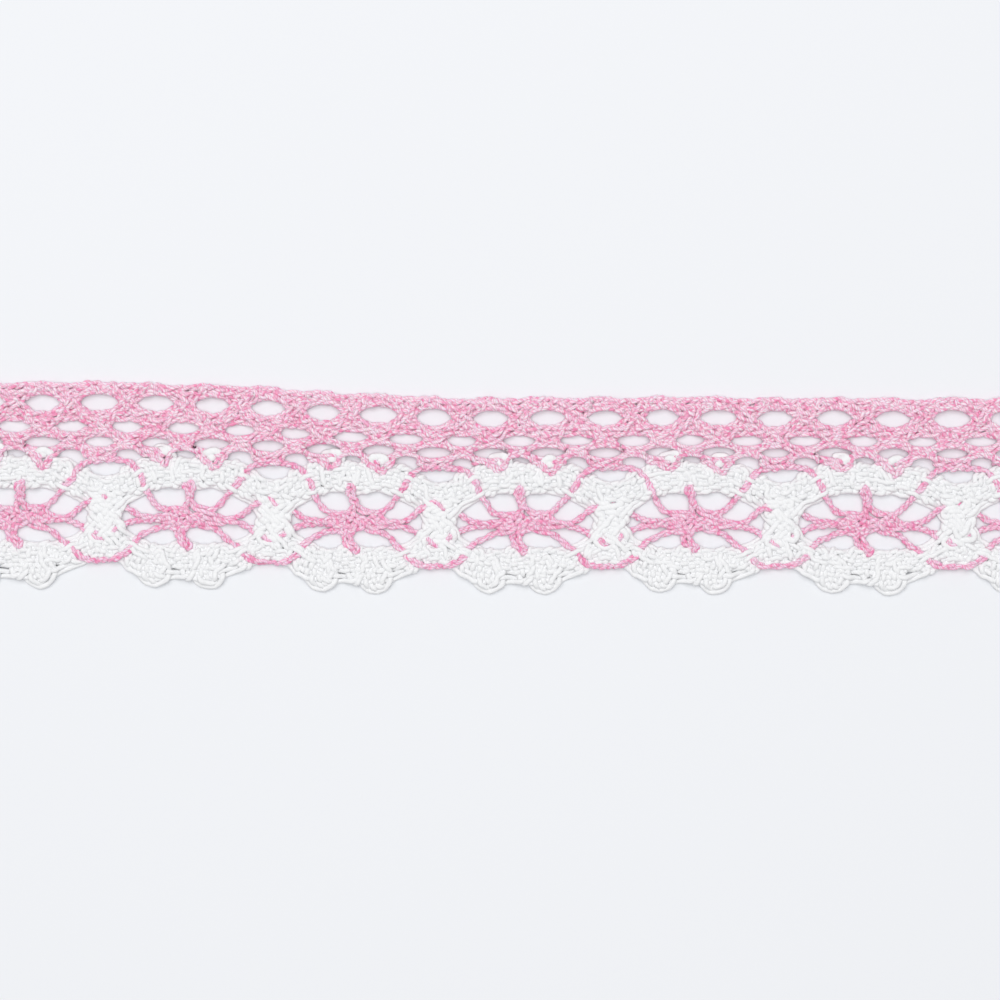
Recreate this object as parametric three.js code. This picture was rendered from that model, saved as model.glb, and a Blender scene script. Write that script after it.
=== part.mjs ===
// Two-colour cotton lace edging: a cut length lying flat, one piece of thread work.
// Millimetres. +X runs along the lace, +Y towards its straight sewing edge, +Z is up.
// The origin is the middle of the underside of the length's bounding box.

import * as THREE from "three";

// The cloth: two crossing threads and their slack, one above the other.
const THICKNESS = 1.2;

// The pattern's repeats as they lie, from left to right. A repeat runs from one white block to the
// next. length is its share of the lace, and legLean is how far the spider's upper leg leans in it.
const REPEATS = [
  { length: 22.0, legLean: 0.0 },
  { length: 22.0, legLean: 0.0 },
  { length: 21.8, legLean: -0.1 },
  { length: 21.4, legLean: -1.1 },
  { length: 22.2, legLean: -1.0 },
  { length: 22.0, legLean: -1.2 },
  { length: 22.9, legLean: -0.8 },
  { length: 22.2, legLean: -0.6 },
];
const NOMINAL_REPEAT = 22;

// Where the length is cut, counted in repeats from the first block.
const CUT_START = 0.83;
const CUT_END = 7.83;

// Heights across the lace, from the line where the white arcs end and the spiders begin.
const SEWING_EDGE = 13.3;
const SEWING_HUMP = 0.3;
const ARCH_EDGE = -10.1;

// The net ground has three eyelets a repeat in each row, and odd rows lie between the even ones.
const EYELETS_PER_REPEAT = 3;
const GROUND_SHIFT = -0.035;
const EYELET_ROWS = [
  { across: 10.86, length: 4.6, width: 2.2, between: 0 },
  { across: 7.69, length: 4.2, width: 1.45, between: 0.5 },
  { across: 5.56, length: 3.6, width: 1.15, between: 0 },
];

// The gap under the pink arch over each white block.
const ARCH_GAP = { across: 2.05, length: 4.1, width: 1.45, turn: 0 };

// The gaps between a spider's eight legs. along is measured from the spider's middle.
const SPIDER_GAPS = [
  { along: -2.75, across: -1.03, length: 3.5, width: 1.95, turn: 0, underLeg: true },
  { along: 2.55, across: -1.03, length: 3.4, width: 1.95, turn: 0, underLeg: true },
  { along: -6.0, across: -2.33, length: 1.95, width: 2.2, turn: 0, underLeg: false },
  { along: 5.63, across: -2.58, length: 2.85, width: 2.1, turn: 20, underLeg: false },
  { along: -3.54, across: -6.54, length: 2.6, width: 1.8, turn: 0, underLeg: false },
  { along: 2.02, across: -6.4, length: 4.1, width: 1.8, turn: 0, underLeg: false },
  { along: -6.13, across: -5.17, length: 2.3, width: 1.0, turn: 0, underLeg: false },
  { along: 5.38, across: -5.3, length: 1.8, width: 1.15, turn: 0, underLeg: false },
];

// Lobes that hang below the pink arches: the scallop and its two picots. along is measured from
// the spider's middle, and drop from ARCH_EDGE.
const LOBES = [
  { along: -0.6, halfLength: 8.4, drop: 1.55 },
  { along: -4.5, halfLength: 2.6, drop: 2.75 },
  { along: 2.24, halfLength: 2.8, drop: 3.3 },
];

// The lace doesn't lie quite straight: towards the right it drops, the net ground more than the
// motifs, so it is also narrower there. drop values are in Y, from and to in X.
const DRIFT = { from: -48, to: 0, motifDrop: 0.78, groundDrop: 1.97 };
const DRIFT_BAND = { low: 2.2, high: 9.3 };

// It also sways a little from side to side, in a long wave and a short one.
const SWAYS = [
  { height: 0.1, length: 83 },
  { height: 0.05, length: 19 },
];

// Facets.
const EYELET_SIDES = 12;
const GAP_SIDES = 8;
const LOWER_EDGE_STEPS = 30;
const HUMP_STEPS = 4;

// Material left between a gap and a cut end.
const END_MARGIN = 0.5;

/** X of a place counted in repeats, before the length is centred. */
function alongRepeats(place) {
  const whole = Math.min(Math.floor(place), REPEATS.length - 1);
  const before = REPEATS.slice(0, whole).reduce((sum, repeat) => sum + repeat.length, 0);
  return before + (place - whole) * REPEATS[whole].length;
}

const START_X = alongRepeats(CUT_START);
const END_X = alongRepeats(CUT_END);
const MIDDLE_X = (START_X + END_X) / 2;

/** A point of the lace as it lies, from its place in repeats and its height across. */
function layPoint(place, across) {
  const x = alongRepeats(place) - MIDDLE_X;
  const progress = THREE.MathUtils.smoothstep(x, DRIFT.from, DRIFT.to);
  const inGround = THREE.MathUtils.smoothstep(across, DRIFT_BAND.low, DRIFT_BAND.high);
  const drop = THREE.MathUtils.lerp(DRIFT.motifDrop, DRIFT.groundDrop, inGround);
  const sway = SWAYS.reduce(
    (sum, wave) => sum + wave.height * Math.sin((2 * Math.PI * x) / wave.length),
    0,
  );
  return new THREE.Vector2(x, across + sway - drop * progress);
}

/** Distance in repeats to the nearest eyelet of the first row, from 0 to half a pitch. */
function eyeletDistance(place) {
  const pitches = (place - 0.5 - GROUND_SHIFT) * EYELETS_PER_REPEAT + 0.5;
  return Math.abs(pitches - Math.round(pitches)) / EYELETS_PER_REPEAT;
}

/** Height of the sewing edge, with a low hump over each eyelet of the first row. */
function upperEdge(place) {
  return SEWING_EDGE + SEWING_HUMP * Math.cos(eyeletDistance(place) * EYELETS_PER_REPEAT * Math.PI);
}

/** Height of the scalloped edge: the arch edge, less the deepest lobe there. */
function lowerEdge(place) {
  const fromSpider = (place - Math.floor(place) - 0.5) * NOMINAL_REPEAT;
  const drops = LOBES.map((lobe) => {
    const share = (fromSpider - lobe.along) / lobe.halfLength;
    return lobe.drop * Math.sqrt(Math.max(0, 1 - share * share));
  });
  return ARCH_EDGE - Math.max(0, ...drops);
}

/** Evenly spaced places from the first cut end to the second. */
function placesAlong(stepsPerRepeat) {
  const count = Math.round((CUT_END - CUT_START) * stepsPerRepeat);
  return Array.from({ length: count + 1 }, (_, i) => CUT_START + i / stepsPerRepeat);
}

/** The outline of the whole length, against the clock. */
function outlinePoints() {
  const lower = placesAlong(LOWER_EDGE_STEPS).map((place) => layPoint(place, lowerEdge(place)));
  const upper = placesAlong(EYELETS_PER_REPEAT * HUMP_STEPS).map((place) =>
    layPoint(place, upperEdge(place)),
  );
  return [...lower, ...upper.reverse()];
}

/** An oval hole as a path, or null where it would come too near a cut end. */
function ovalHole(place, across, size, sides) {
  const middle = layPoint(place, across);
  const turn = THREE.MathUtils.degToRad(size.turn ?? 0);
  const reach = size.length / 2 + END_MARGIN;
  if (Math.abs(middle.x) + reach > (END_X - START_X) / 2) return null;
  const oval = new THREE.EllipseCurve(
    middle.x, middle.y, size.length / 2, size.width / 2, 0, 2 * Math.PI, true, turn,
  );
  return new THREE.Path(oval.getPoints(sides).slice(0, sides));
}

/** The eyelets of the net ground. */
function eyeletHoles() {
  const count = REPEATS.length * EYELETS_PER_REPEAT;
  return EYELET_ROWS.flatMap((row) =>
    Array.from({ length: count }, (_, i) => {
      const place = (i + row.between) / EYELETS_PER_REPEAT + GROUND_SHIFT;
      return place < CUT_START ? null : ovalHole(place, row.across, row, EYELET_SIDES);
    }),
  );
}

/** The gaps of one repeat's motifs: its spider, and the arch over the block it starts with. */
function motifHoles(repeat, index) {
  const archHole = ovalHole(index, ARCH_GAP.across, ARCH_GAP, GAP_SIDES);
  const spiderHoles = SPIDER_GAPS.map((gap) => {
    const lean = gap.underLeg ? repeat.legLean / 2 : 0;
    const grown = { ...gap, length: gap.length - Math.sign(gap.along) * lean };
    const place = index + 0.5 + (gap.along + lean) / repeat.length;
    return ovalHole(place, gap.across, grown, GAP_SIDES);
  });
  return [archHole, ...spiderHoles];
}

/** The whole lace as one flat solid standing on z = 0. */
function laceGeometry() {
  const shape = new THREE.Shape(outlinePoints());
  shape.holes = [...eyeletHoles(), ...REPEATS.flatMap(motifHoles)].filter(Boolean);
  const geometry = new THREE.ExtrudeGeometry(shape, { depth: THICKNESS, bevelEnabled: false });
  geometry.computeBoundingBox();
  const middle = geometry.boundingBox.getCenter(new THREE.Vector3());
  return geometry.translate(-middle.x, -middle.y, 0);
}

const pinkAndWhiteCotton = new THREE.MeshStandardMaterial({
  color: new THREE.Color().setRGB(0.88, 0.74, 0.8, THREE.SRGBColorSpace),
  roughness: 0.85,
  metalness: 0,
});

const lace = new THREE.Mesh(laceGeometry(), pinkAndWhiteCotton);
lace.name = "lace_edging";

const laceEdging = new THREE.Group();
laceEdging.add(lace);

export default laceEdging;
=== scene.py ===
"""Two-colour cotton lace edging, built thread by thread, lying on a pale table.

Each pair of threads follows a chart in millimetres, repeat after repeat. The charts are laid out
as the CAD plate lies, split into single threads, crossed over and under each other in turn, and
settled for a set number of turns while touching threads push each other apart. What is left is
covered with tubes of yarn.
"""

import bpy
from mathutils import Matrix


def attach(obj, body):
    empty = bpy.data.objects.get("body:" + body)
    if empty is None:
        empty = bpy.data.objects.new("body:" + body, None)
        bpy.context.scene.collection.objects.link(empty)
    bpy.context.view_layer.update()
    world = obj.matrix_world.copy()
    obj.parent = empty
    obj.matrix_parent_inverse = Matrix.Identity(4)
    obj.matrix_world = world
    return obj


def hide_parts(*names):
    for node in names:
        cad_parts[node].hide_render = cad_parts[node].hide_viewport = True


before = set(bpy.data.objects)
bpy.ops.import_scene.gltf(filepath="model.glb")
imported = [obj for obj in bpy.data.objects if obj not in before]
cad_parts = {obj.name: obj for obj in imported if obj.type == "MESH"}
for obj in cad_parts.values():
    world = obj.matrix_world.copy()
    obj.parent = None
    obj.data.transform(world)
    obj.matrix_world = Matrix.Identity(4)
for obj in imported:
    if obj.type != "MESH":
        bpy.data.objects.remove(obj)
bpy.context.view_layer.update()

import logging
import math
from abc import ABC, abstractmethod
from dataclasses import dataclass, field, replace
from enum import Enum

import bpy
import numpy as np

log = logging.getLogger("lace")

MM = 0.001
TAU = 2 * math.pi
TINY = 1e-12
NODE = "lace_edging"
# Usual length of a repeat, from one white block to the next, in millimetres.
REPEAT = 22.0
Point = tuple[float, float]
Chart = list[Point]
# Its middle, and its half length and half width.
Oval = tuple[Point, Point]


class Cotton(Enum):
    """The two yarns, named as the record's material slots."""

    PINK = "pink_cotton"
    WHITE = "white_cotton"

    @property
    def radius(self) -> float:
        """The yarn's radius in millimetres."""
        return 0.225 if self is Cotton.PINK else 0.27

    @property
    def pressed(self) -> float:
        """The radius to which touching yarns flatten."""
        return 0.9 * self.radius

    @property
    def oval(self) -> tuple[float, float]:
        """Width and height of the yarn as it lies, as shares of its diameter."""
        return (1.16, 0.95) if self is Cotton.PINK else (1.28, 0.8)


# How the lace lies.


@dataclass(frozen=True)
class Lie:
    """Where the pattern lies on the table, in millimetres, as the CAD plate has it.

    Attributes:
        repeats: Length of each repeat.
        leg_leans: How far the top of the spider's upper leg leans in each repeat.
        cut_start: Where the length starts, in repeats.
        cut_end: Where it ends.
        drift_from: X where the lace starts to drop towards the right.
        drift_to: X where it has dropped.
        motif_drop: How far the motifs drop.
        ground_drop: How far the net ground does.
        band_low: Height across where the drop starts to change from the one to the other.
        band_high: Height where it has changed.
        sways: Height and length of each slow wave from side to side.
        centring: Moves the lace to the middle of the frame.
    """

    repeats: tuple[float, ...] = (22.0, 22.0, 21.8, 21.4, 22.2, 22.0, 22.9, 22.2)
    leg_leans: tuple[float, ...] = (0.0, 0.0, -0.1, -1.1, -1.0, -1.2, -0.8, -0.6)
    cut_start: float = 0.83
    cut_end: float = 7.83
    drift_from: float = -48.0
    drift_to: float = 0.0
    motif_drop: float = 0.78
    ground_drop: float = 1.97
    band_low: float = 2.2
    band_high: float = 9.3
    sways: tuple[Point, ...] = ((0.1, 83.0), (0.05, 19.0))
    centring: float = 0.3

    def along(self, place: np.ndarray) -> np.ndarray:
        """Distances from the first block.

        Args:
            place: Places along the lace, in repeats from the first block.

        Returns:
            The distance of each.
        """
        starts = np.concatenate([[0.0], np.cumsum(self.repeats)])
        whole = np.clip(np.floor(place).astype(int), 0, len(self.repeats) - 1)
        return starts[whole] + (place - whole) * np.array(self.repeats)[whole]

    @property
    def ends(self) -> np.ndarray:
        """Distances of the two cut ends from the first block."""
        return self.along(np.array([self.cut_start, self.cut_end]))

    @property
    def half_length(self) -> float:
        """Half the cut length."""
        return float(self.ends[1] - self.ends[0]) / 2

    def at(self, place: np.ndarray, across: np.ndarray) -> np.ndarray:
        """Points of the lace as it lies.

        Args:
            place: Places along the lace, in repeats from the first block.
            across: Heights across the lace, from the foot of the white arcs.

        Returns:
            An array of X and Y, one row a point.
        """
        x = self.along(place) - self.ends.mean()
        progress = smooth_step(x, self.drift_from, self.drift_to)
        in_ground = smooth_step(across, self.band_low, self.band_high)
        drop = self.motif_drop + (self.ground_drop - self.motif_drop) * in_ground
        sway = sum(height * np.sin(TAU * x / length) for height, length in self.sways)
        return np.stack([x, across + sway - drop * progress + self.centring], -1)

    def motif(self, chart: Chart, index: int) -> np.ndarray:
        """A chart measured from the middle of one repeat's spider, laid in that repeat."""
        points = np.array(chart, float)
        return self.at(index + 0.5 + points[:, 0] / REPEAT, points[:, 1])

    def run(self, chart: Chart) -> np.ndarray:
        """A chart measured from the first spider's middle that runs over all repeats."""
        return self.motif(chart, 0)

    def ovals(self, *ovals: Oval) -> np.ndarray:
        """Ovals of the chart, laid in every repeat.

        Args:
            ovals: The ovals, measured from the spider's middle.

        Returns:
            X, Y, half length and half width, one row each.
        """
        rows = []
        for middle, size in ovals:
            for k in range(len(self.repeats)):
                rows.append((*self.motif([middle], k)[0], *size))
        return np.array(rows)


def smooth_step(x: np.ndarray, low: float, high: float) -> np.ndarray:
    """Eased share of the way from low to high."""
    share = np.clip((x - low) / (high - low), 0, 1)
    return share * share * (3 - 2 * share)


def directions(line: np.ndarray) -> tuple[np.ndarray, np.ndarray]:
    """Unit vectors of a flat line.

    Args:
        line: Its points, one row each.

    Returns:
        The vectors ahead and to the left at each point.
    """
    ahead = np.gradient(line, axis=0)
    ahead /= np.linalg.norm(ahead, axis=1)[:, None] + TINY
    return ahead, np.stack([-ahead[:, 1], ahead[:, 0]], -1)


def distances(points: np.ndarray) -> np.ndarray:
    """Distance of each point along its line."""
    return np.concatenate([[0], np.cumsum(np.linalg.norm(np.diff(points, axis=0), axis=1))])


def resample(points: np.ndarray, step: float) -> np.ndarray:
    """The same line with its points an even distance apart.

    Args:
        points: The line's points, one row each.
        step: The distance.

    Returns:
        The new points.
    """
    gone = distances(points)
    even = np.linspace(0, gone[-1], max(2, round(gone[-1] / step) + 1))
    return np.stack([np.interp(even, gone, column) for column in points.T], -1)


def smooth_line(points: np.ndarray, step: float) -> np.ndarray:
    """A smooth line through points, by a centripetal Catmull-Rom curve.

    Args:
        points: The points that it passes, one row each.
        step: Distance between the points of the result.

    Returns:
        The points of the smooth line, an even step apart.
    """
    least_gap, fine_step = 1e-6, 0.06
    apart = np.linalg.norm(np.diff(points, axis=0), axis=1) > least_gap
    p = points[np.concatenate([[True], apart])]
    p = np.vstack([2 * p[0] - p[1], p, 2 * p[-1] - p[-2]])
    knots = np.cumsum(np.sqrt(np.linalg.norm(np.diff(p, axis=0), axis=1)))
    knots = np.concatenate([[0], knots])
    pieces = []
    for i in range(1, len(p) - 2):
        p0, p1, p2, p3 = p[i - 1 : i + 3]
        t0, t1, t2, t3 = knots[i - 1 : i + 3]
        count = max(3, math.ceil(np.linalg.norm(p2 - p1) / fine_step))
        t = np.linspace(t1, t2, count, endpoint=False)[:, None]
        a1 = (t1 - t) / (t1 - t0) * p0 + (t - t0) / (t1 - t0) * p1
        a2 = (t2 - t) / (t2 - t1) * p1 + (t - t1) / (t2 - t1) * p2
        a3 = (t3 - t) / (t3 - t2) * p2 + (t - t2) / (t3 - t2) * p3
        b1 = (t2 - t) / (t2 - t0) * a1 + (t - t0) / (t2 - t0) * a2
        b2 = (t3 - t) / (t3 - t1) * a2 + (t - t1) / (t3 - t1) * a3
        pieces.append((t2 - t) / (t2 - t1) * b1 + (t - t1) / (t2 - t1) * b2)
    pieces.append(p[-2:-1])
    return resample(np.vstack(pieces), step)


# Pairs and threads.


@dataclass
class Pair:
    """Two threads that run together.

    Attributes:
        cotton: Their yarn.
        line: The middle of the pair as it lies, one X and Y a row.
        twist: Half twists a millimetre, or 0 where the threads lie side by side.
        spread: Distance between the threads, as a share of the usual one.
        flat: Ovals in which the twist stops: X, Y, half length and half width, one row each.
        ranks: Ovals in which the pair has a rank: the same and the rank, one row each. Where the
            cottons cross, the higher rank goes over. The last row counts.
        width: Width of the threads, as a share of the usual one.
    """

    cotton: Cotton
    line: np.ndarray
    twist: float = 0.0
    spread: float = 1.0
    flat: np.ndarray | None = None
    ranks: np.ndarray | None = None
    width: float = 1.0


@dataclass
class Thread:
    """One thread. After settling, its points have three columns."""

    part: "LacePart"
    points: np.ndarray
    number: int
    ranks: np.ndarray
    width: np.ndarray


class Rank(Enum):
    """Which cotton goes over the other, from the lowest. Equal ranks go over in turn.

    A split pair's second thread has the rank's opposite.
    """

    BEHIND = -1
    LEG = 0.25
    SPLIT = 0.5
    BLOCK = 1
    GROUND = 2
    CRESCENT = 3

    def everywhere(self) -> np.ndarray:
        """One row that gives this rank over the whole lace."""
        return np.array([(0.0, 0.0, 1000.0, 1000.0, self.value)])

    def inside(self, lie: Lie, *ovals: Oval) -> np.ndarray:
        """Rows that give this rank inside some ovals of the chart, in every repeat."""
        rows = lie.ovals(*ovals)
        return np.column_stack([rows, np.full(len(rows), self.value)])


@dataclass(eq=False, kw_only=True)
class LacePart(ABC):
    """A part of the lace that becomes one piece."""

    name: str
    cotton: Cotton

    @abstractmethod
    def pairs(self, lie: Lie) -> list[Pair]:
        """The pairs of threads of this part, over the whole length."""

    def build(self, threads: list[Thread], yarn: "Yarn") -> bpy.types.Object:
        """Joins the tubes of this part's threads into one piece."""
        own = [thread for thread in threads if thread.part is self]
        return yarn.cover(self.name, own)

    def dress(self, piece: bpy.types.Object, finish: "YarnFinish") -> None:
        """Gives the piece its cotton and its place in the frame.

        Args:
            piece: The piece, as built.
            finish: Its yarn's finish.
        """
        piece.data.materials.append(finish.material())
        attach(piece, "root")
        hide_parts(NODE)


def alternate(charts: tuple[Chart, Chart], start: int, count: range) -> list[Chart]:
    """Two charts in turn for every repeat, from either of them."""
    return [charts[(k + start) % 2] for k in count]


def laid(charts: list[Chart], lie: Lie) -> np.ndarray:
    """Charts laid one after the other, one in each repeat."""
    return np.vstack([lie.motif(chart, k) for k, chart in enumerate(charts)])


# The net ground.

# Each row has three eyelets a repeat, with a node at each and between each two.
NODES = 6
HALF_PITCH = REPEAT / NODES
GROUND_SHIFT = -0.035 * REPEAT - REPEAT / 2

# A ground pair from the sewing edge down to the motifs: distance from its foot, and height.
GROUND_DESCENT: Chart = [
    (-1.94, 12.45), (0.00, 12.72), (1.16, 12.50), (2.07, 12.05), (2.84, 11.45), (3.67, 10.86),
    (4.65, 10.21), (5.36, 9.56), (6.07, 8.60), (7.33, 7.69), (8.26, 7.17), (9.17, 6.70),
    (10.07, 6.14), (11.00, 5.69), (11.88, 5.30),
]
# Its turn at the bottom, from the turn's middle: over a block, or round one of the two knots.
TURN_OVER_BLOCK: Chart = [
    (-2.07, 4.72), (-1.03, 4.14), (0.00, 3.84), (1.03, 4.14), (2.07, 4.72),
]
TURN_FIRST_KNOT: Chart = [
    (-1.94, 4.95), (-0.60, 4.60), (0.35, 4.10), (0.85, 3.55), (1.12, 2.95), (1.35, 3.55),
    (1.75, 4.10), (2.30, 4.95),
]
TURN_SECOND_KNOT: Chart = [
    (-2.30, 4.95), (-1.20, 4.45), (-0.45, 3.80), (-0.05, 3.10), (0.25, 2.50), (0.40, 3.10),
    (0.80, 3.80), (1.90, 4.90),
]
TURN_OVER_KNOT: Chart = [
    (-2.00, 5.10), (-0.70, 4.55), (0.20, 3.90), (0.90, 3.75), (1.60, 4.20), (2.20, 5.00),
]


def foot(step: int) -> float:
    """Place of a ground node, from the first spider's middle."""
    return GROUND_SHIFT + HALF_PITCH * step


@dataclass(eq=False, kw_only=True)
class GroundPairs(LacePart):
    """The slanting pairs of the net ground, which turn at the sewing edge and at the motifs.

    Attributes:
        offset: How far the pairs lie to one side of their charts.
        turns: Their turns at the foot: over a block, and at the two knots.
        twist: Half twists a millimetre.
        descent: Nodes that a pair passes on its way down, and again on its way up.
        line_step: Distance between the points of a pair's line.
    """

    cotton: Cotton = Cotton.PINK
    offset: float
    turns: tuple[Chart, Chart, Chart]
    twist: float = 0.75
    descent: int = 4
    line_step: float = 0.5

    def zigzag(self, step: int) -> Chart:
        """One pair's way down and up again.

        Args:
            step: The node at which it starts.

        Returns:
            The points of its way.
        """
        turn = self.turns[(step + self.descent) // 2 % 3]
        start = foot(step)
        bottom = start + self.descent * HALF_PITCH
        end = start + 2 * self.descent * HALF_PITCH
        down = [(start + x, y) for x, y in GROUND_DESCENT]
        up = [(end - x, y) for x, y in reversed(GROUND_DESCENT[2:])]
        return down + [(bottom + x, y) for x, y in turn] + up

    def pairs(self, lie: Lie) -> list[Pair]:
        """Four pairs, each two nodes behind the last.

        Args:
            lie: How the lace lies.

        Returns:
            The pairs.
        """
        period = 2 * self.descent
        last = NODES * len(lie.repeats) + self.descent
        made = []
        for first in range(-period, 0, 2):
            chart: Chart = []
            for step in range(first, last, period):
                chart += self.zigzag(step)
            line = smooth_line(lie.run(chart), self.line_step)
            line = line + self.offset * directions(line)[1]
            made.append(Pair(self.cotton, line, self.twist, ranks=Rank.GROUND.everywhere()))
        return made


@dataclass(frozen=True)
class Rail:
    """Heights of a rail at even and odd nodes, half its level stretch there, and its twist."""

    even: float
    odd: float
    level: float
    twist: float


@dataclass(eq=False, kw_only=True)
class GroundRails(LacePart):
    """The pairs of the net ground that run along the lace between its rows of eyelets.

    Attributes:
        rails: The rails, from the sewing edge down.
        lowest: The last one, which dips under the knots: offset and height of its points at each
            of a repeat's six nodes.
        lowest_twist: Its half twists a millimetre.
        spread: Distance between the threads, as a share of the usual one.
        beyond: Nodes that the rails run past the first and the last repeat.
        least_gap: Keeps the points of a rail apart where it has no level stretch.
    """

    name: str = "ground_rails"
    cotton: Cotton = Cotton.PINK
    rails: tuple[Rail, ...] = (
        Rail(even=12.55, odd=12.95, level=0.9, twist=0.6),
        Rail(even=12.30, odd=12.15, level=0.8, twist=0.6),
        Rail(even=9.33, odd=9.63, level=0.0, twist=0.5),
        Rail(even=8.53, odd=8.84, level=1.0, twist=0.5),
        Rail(even=6.95, odd=6.5, level=0.0, twist=0.5),
    )
    lowest: tuple[Chart, ...] = (
        [(0.0, 4.50)],
        [(-0.65, 5.13), (0.65, 5.13)],
        [(-0.39, 4.75), (0.77, 4.35), (1.68, 4.75)],
        [(-0.65, 5.13), (0.65, 5.13)],
        [(-0.90, 4.50), (0.00, 4.20), (0.90, 4.50)],
        [(-0.65, 5.13), (0.65, 5.13)],
    )
    lowest_twist: float = 0.6
    spread: float = 1.1
    beyond: int = 3
    least_gap: float = 0.01

    def chart(self, rail: Rail, steps: range) -> Chart:
        """One rail's points.

        Args:
            rail: The rail.
            steps: The nodes that it passes.

        Returns:
            Two points a node.
        """
        points: Chart = []
        for step in steps:
            height = rail.odd if step % 2 else rail.even
            level = rail.level * (step % 2)
            right = foot(step) + level + self.least_gap
            points += [(foot(step) - level, height), (right, height)]
        return points

    def pairs(self, lie: Lie) -> list[Pair]:
        """One pair for each rail.

        Args:
            lie: How the lace lies.

        Returns:
            The pairs.
        """
        steps = range(-self.beyond, NODES * len(lie.repeats) + self.beyond + 1)
        charts = [(self.chart(rail, steps), rail.twist) for rail in self.rails]
        lowest = [(foot(step) + x, y) for step in steps for x, y in self.lowest[step % NODES]]
        charts.append((lowest, self.lowest_twist))
        ranks = Rank.GROUND.everywhere()
        return [
            Pair(self.cotton, lie.run(chart), twist, spread=self.spread, ranks=ranks)
            for chart, twist in charts
        ]


# The spiders.

# From the arch over one block to the next block's lower arch, from the spider's middle.
SPIDER_FALLING: Chart = [
    (-10.95, 3.58), (-9.22, 3.42), (-8.06, 3.10), (-7.15, 2.58), (-6.44, 1.68), (-5.99, 0.65),
    (-5.55, -0.35), (-5.10, -1.30), (-4.65, -2.10), (-3.90, -2.68), (-3.00, -2.82),
    (-2.00, -2.85), (-1.08, -2.98), (0.08, -3.60), (1.00, -4.45), (1.80, -4.95), (2.79, -5.15),
    (3.60, -5.50), (4.35, -6.05), (5.20, -6.95), (6.10, -7.55), (6.70, -8.30), (7.45, -8.90),
    (8.30, -9.25), (9.37, -9.32),
]
SPIDER_RISING: Chart = [
    (-10.95, -9.32), (-9.73, -9.15), (-8.70, -8.75), (-7.67, -8.00), (-6.90, -6.90),
    (-6.10, -6.05), (-4.80, -5.50), (-3.50, -5.10), (-2.50, -5.02), (-1.47, -4.98),
    (-0.44, -4.75), (0.80, -4.20), (1.90, -3.60), (2.85, -2.95), (3.75, -2.30), (4.66, -1.35),
    (5.40, -0.50), (6.13, 0.25), (6.75, 1.20), (7.25, 2.05), (8.00, 2.88), (9.12, 3.40),
]
# The pair that hangs the spider's upper leg on the arc, and goes on through the next block.
SPIDER_UPPER: Chart = [
    (-5.09, -3.95), (-4.05, -4.10), (-3.02, -4.38), (-2.10, -4.30), (-1.30, -3.75),
    (-0.60, -2.95), (-0.34, -2.07), (0.28, -1.10), (-0.28, -0.13), (-0.40, 0.45), (0.00, 0.85),
    (0.44, 0.45), (0.34, -0.13), (-0.26, -1.10), (0.36, -2.07), (0.90, -2.65), (1.80, -2.75),
    (2.70, -3.10), (3.40, -3.70), (4.20, -4.05), (5.50, -4.01), (6.66, -3.55), (7.57, -2.91),
    (8.47, -2.07), (9.57, -1.74), (10.60, -1.16), (11.70, -1.74), (12.99, -2.39),
    (14.28, -3.17), (15.44, -3.72),
]
# The pair that hangs the lower leg on the scallop.
SPIDER_LOWER: Chart = [
    (-5.09, -4.20), (-4.05, -3.95), (-3.02, -3.60), (-2.30, -3.62), (-1.80, -4.20),
    (-1.65, -5.04), (-1.65, -5.82), (-1.60, -6.50), (-1.20, -7.10), (-0.50, -7.50),
    (0.05, -7.95), (0.25, -7.45), (-0.40, -7.00), (-0.85, -6.45), (-0.98, -5.75),
    (-0.85, -4.90), (-0.20, -4.20), (0.80, -3.70), (2.01, -4.15), (3.05, -4.35), (4.21, -4.30),
    (5.63, -4.23), (6.92, -4.65), (7.95, -5.17), (9.24, -5.69), (10.15, -6.59), (11.18, -6.53),
    (12.34, -5.69), (13.76, -4.85), (15.31, -4.33),
]


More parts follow.
